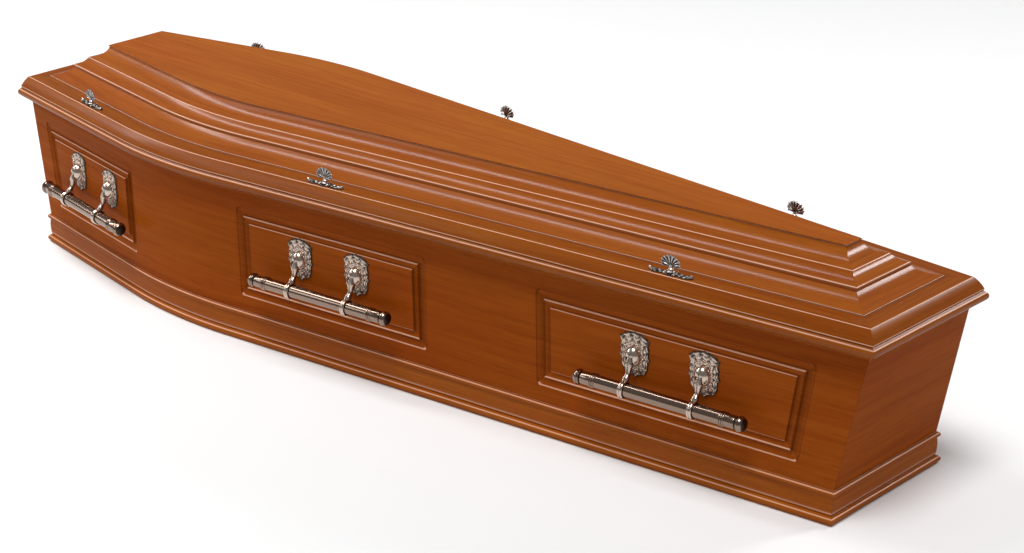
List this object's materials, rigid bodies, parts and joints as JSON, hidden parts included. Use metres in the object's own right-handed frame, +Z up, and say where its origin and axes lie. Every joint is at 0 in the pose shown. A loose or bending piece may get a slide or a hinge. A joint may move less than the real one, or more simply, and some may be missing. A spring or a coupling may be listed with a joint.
{
  "type": "wooden coffin",
  "caption": "Shoulder-shaped wooden coffin with a stepped raised lid, moulded plinth, routed side panels, swing bar handles and shell thumb screws.",
  "frame": {"origin": "on the floor, under the middle of the lid's length and width", "axes": "+X from the head to the foot, +Z up, -Y the right-hand side seen from the head"},
  "size_m": [2, 0.5802, 0.3961],
  "materials": {
    "box_wood": "warm brown satin varnish",
    "lid_wood": "warm orange-brown gloss varnish",
    "handle_metal": "polished antique bronze plate",
    "screw_metal": "dark antique bronze plate"
  },
  "bodies": {
    "root": {"base_board": "box_wood", "side_board_right": "box_wood", "side_board_left": "box_wood", "head_board": "box_wood", "foot_board": "box_wood", "plinth_right": "box_wood", "plinth_left": "box_wood", "plinth_head": "box_wood", "plinth_foot": "box_wood", "lid_rim_right": "lid_wood", "lid_rim_left": "lid_wood", "lid_rim_head": "lid_wood", "lid_rim_foot": "lid_wood", "lid_moulding_right": "lid_wood", "lid_moulding_left": "lid_wood", "lid_moulding_head": "lid_wood", "lid_moulding_foot": "lid_wood", "lid_top_panel": "lid_wood", "back_plate_right_head_head": "handle_metal", "back_plate_right_head_foot": "handle_metal", "back_plate_right_middle_head": "handle_metal", "back_plate_right_middle_foot": "handle_metal", "back_plate_right_foot_head": "handle_metal", "back_plate_right_foot_foot": "handle_metal", "back_plate_left_head_head": "handle_metal", "back_plate_left_head_foot": "handle_metal", "back_plate_left_middle_head": "handle_metal", "back_plate_left_middle_foot": "handle_metal", "back_plate_left_foot_head": "handle_metal", "back_plate_left_foot_foot": "handle_metal", "screw_plate_right_head": "screw_metal", "screw_plate_right_middle": "screw_metal", "screw_plate_right_foot": "screw_metal", "screw_plate_left_head": "screw_metal", "screw_plate_left_middle": "screw_metal", "screw_plate_left_foot": "screw_metal"},
    "handle_right_head": {"swing_arm_right_head_head": "handle_metal", "swing_arm_right_head_foot": "handle_metal", "handle_bar_right_head": "handle_metal"},
    "handle_right_middle": {"swing_arm_right_middle_head": "handle_metal", "swing_arm_right_middle_foot": "handle_metal", "handle_bar_right_middle": "handle_metal"},
    "handle_right_foot": {"swing_arm_right_foot_head": "handle_metal", "swing_arm_right_foot_foot": "handle_metal", "handle_bar_right_foot": "handle_metal"},
    "handle_left_head": {"swing_arm_left_head_head": "handle_metal", "swing_arm_left_head_foot": "handle_metal", "handle_bar_left_head": "handle_metal"},
    "handle_left_middle": {"swing_arm_left_middle_head": "handle_metal", "swing_arm_left_middle_foot": "handle_metal", "handle_bar_left_middle": "handle_metal"},
    "handle_left_foot": {"swing_arm_left_foot_head": "handle_metal", "swing_arm_left_foot_foot": "handle_metal", "handle_bar_left_foot": "handle_metal"},
    "screw_right_head": {"thumb_screw_right_head": "screw_metal"},
    "screw_right_middle": {"thumb_screw_right_middle": "screw_metal"},
    "screw_right_foot": {"thumb_screw_right_foot": "screw_metal"},
    "screw_left_head": {"thumb_screw_left_head": "screw_metal"},
    "screw_left_middle": {"thumb_screw_left_middle": "screw_metal"},
    "screw_left_foot": {"thumb_screw_left_foot": "screw_metal"}
  },
  "joints": [
    {"name": "handle_right_head_swing", "type": "hinge", "parent": "root", "child": "handle_right_head", "pos_m": [-0.73025, -0.22824, 0.187], "axis": [-0.9823, 0.1872, 0], "range_deg": [0, 72]},
    {"name": "handle_right_middle_swing", "type": "hinge", "parent": "root", "child": "handle_right_middle", "pos_m": [-0.05885, -0.24426, 0.187], "axis": [-0.9954, -0.0962, 0], "range_deg": [0, 72]},
    {"name": "handle_right_foot_swing", "type": "hinge", "parent": "root", "child": "handle_right_foot", "pos_m": [0.63815, -0.17692, 0.187], "axis": [-0.9954, -0.0962, 0], "range_deg": [0, 72]},
    {"name": "handle_left_head_swing", "type": "hinge", "parent": "root", "child": "handle_left_head", "pos_m": [-0.73025, 0.22824, 0.187], "axis": [0.9823, 0.1872, 0], "range_deg": [0, 72]},
    {"name": "handle_left_middle_swing", "type": "hinge", "parent": "root", "child": "handle_left_middle", "pos_m": [-0.05885, 0.24426, 0.187], "axis": [0.9954, -0.0962, 0], "range_deg": [0, 72]},
    {"name": "handle_left_foot_swing", "type": "hinge", "parent": "root", "child": "handle_left_foot", "pos_m": [0.63815, 0.17692, 0.187], "axis": [0.9954, -0.0962, 0], "range_deg": [0, 72]},
    {"name": "screw_right_head_turn", "type": "hinge", "parent": "root", "child": "screw_right_head", "pos_m": [-0.733, -0.20634, 0.332], "axis": [0, 0, 1], "continuous": true},
    {"name": "screw_right_middle_turn", "type": "hinge", "parent": "root", "child": "screw_right_middle", "pos_m": [-0.068, -0.22405, 0.332], "axis": [0, 0, 1], "continuous": true},
    {"name": "screw_right_foot_turn", "type": "hinge", "parent": "root", "child": "screw_right_foot", "pos_m": [0.631, -0.15651, 0.332], "axis": [0, 0, 1], "continuous": true},
    {"name": "screw_left_head_turn", "type": "hinge", "parent": "root", "child": "screw_left_head", "pos_m": [-0.733, 0.20634, 0.332], "axis": [0, 0, 1], "continuous": true},
    {"name": "screw_left_middle_turn", "type": "hinge", "parent": "root", "child": "screw_left_middle", "pos_m": [-0.068, 0.22405, 0.332], "axis": [0, 0, 1], "continuous": true},
    {"name": "screw_left_foot_turn", "type": "hinge", "parent": "root", "child": "screw_left_foot", "pos_m": [0.631, 0.15651, 0.332], "axis": [0, 0, 1], "continuous": true}
  ]
}
